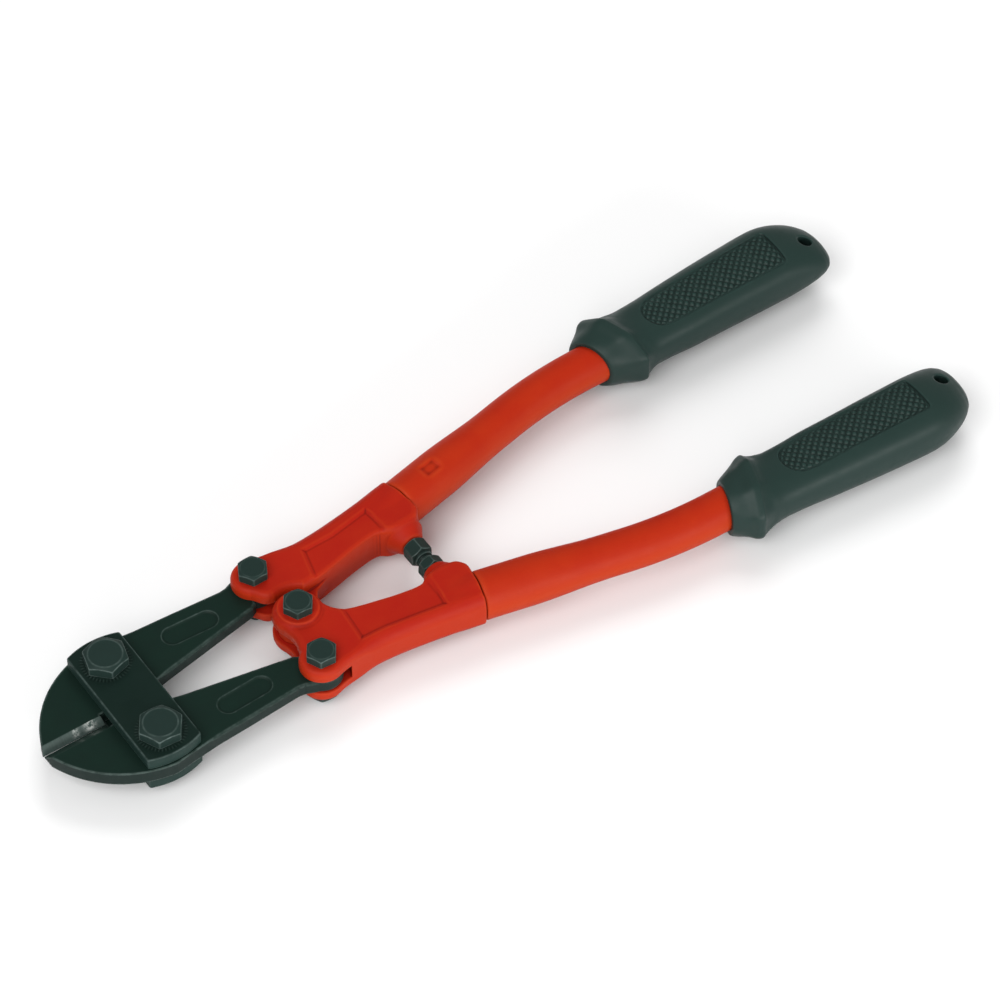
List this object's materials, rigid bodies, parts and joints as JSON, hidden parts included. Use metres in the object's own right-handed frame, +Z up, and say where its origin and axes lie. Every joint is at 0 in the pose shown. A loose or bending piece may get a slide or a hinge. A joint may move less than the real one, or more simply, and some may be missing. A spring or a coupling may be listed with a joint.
{
  "type": "bolt cutters",
  "caption": "Compound-lever bolt cutters lying closed: forged jaws between link plates, forged arm heads, bent tube handles with rubber grips.",
  "frame": {"origin": "middle of the tool's length and width, on the surface it lies on", "axes": "+X from the cutting head towards the grips, +Y towards the right-hand arm, +Z up out of the face that shows the bolt heads"},
  "size_m": [0.3502, 0.1156, 0.026],
  "materials": {
    "link_plate": "dark satin forged steel",
    "jaw_steel": "dark satin hardened steel",
    "bolt_steel": "dark zinc and oil finish",
    "red_forging": "satin red powder coat on forged steel",
    "red_tube": "satin red powder coat on steel tube",
    "grip_rubber": "matt moulded rubber"
  },
  "bodies": {
    "link_frame": {"link_plate_top": "link_plate", "link_plate_bottom": "link_plate", "jaw_bolt_right": "bolt_steel", "jaw_bolt_left": "bolt_steel", "jaw_nut_right": "bolt_steel", "jaw_nut_left": "bolt_steel"},
    "jaw_right": {"jaw_right": "jaw_steel"},
    "jaw_left": {"jaw_left": "jaw_steel"},
    "arm_right": {"arm_head_right": "red_forging", "tail_bolt_right": "bolt_steel", "tail_nut_right": "bolt_steel", "handle_tube_right": "red_tube", "grip_right": "grip_rubber"},
    "arm_left": {"arm_head_left": "red_forging", "tail_bolt_left": "bolt_steel", "tail_nut_left": "bolt_steel", "center_bolt": "bolt_steel", "center_nut": "bolt_steel", "stop_screw": "bolt_steel", "stop_lock_nut": "bolt_steel", "handle_tube_left": "red_tube", "grip_left": "grip_rubber"}
  },
  "joints": [
    {"name": "jaw_right_pivot", "type": "hinge", "parent": "link_frame", "child": "jaw_right", "pos_m": [-0.13975, 0.0175, 0.013], "axis": [0, 0, -1], "range_deg": [0, 5.51]},
    {"name": "jaw_left_pivot", "type": "hinge", "parent": "link_frame", "child": "jaw_left", "pos_m": [-0.13975, -0.0175, 0.013], "axis": [0, 0, 1], "range_deg": [0, 5.51]},
    {"name": "arm_right_pivot", "type": "hinge", "parent": "jaw_right", "child": "arm_right", "pos_m": [-0.07905, 0.0214, 0.013], "axis": [0, 0, 1], "range_deg": [0, 40.5]},
    {"name": "arm_left_pivot", "type": "hinge", "parent": "jaw_left", "child": "arm_left", "pos_m": [-0.07905, -0.0214, 0.013], "axis": [0, 0, -1], "range_deg": [0, 40.5]}
  ],
  "couplings": [
    {"joint": "jaw_right_pivot", "follows": "arm_right_pivot", "ratio": 0.136},
    {"joint": "jaw_left_pivot", "follows": "arm_right_pivot", "ratio": 0.136},
    {"joint": "arm_left_pivot", "follows": "arm_right_pivot", "ratio": 1}
  ]
}
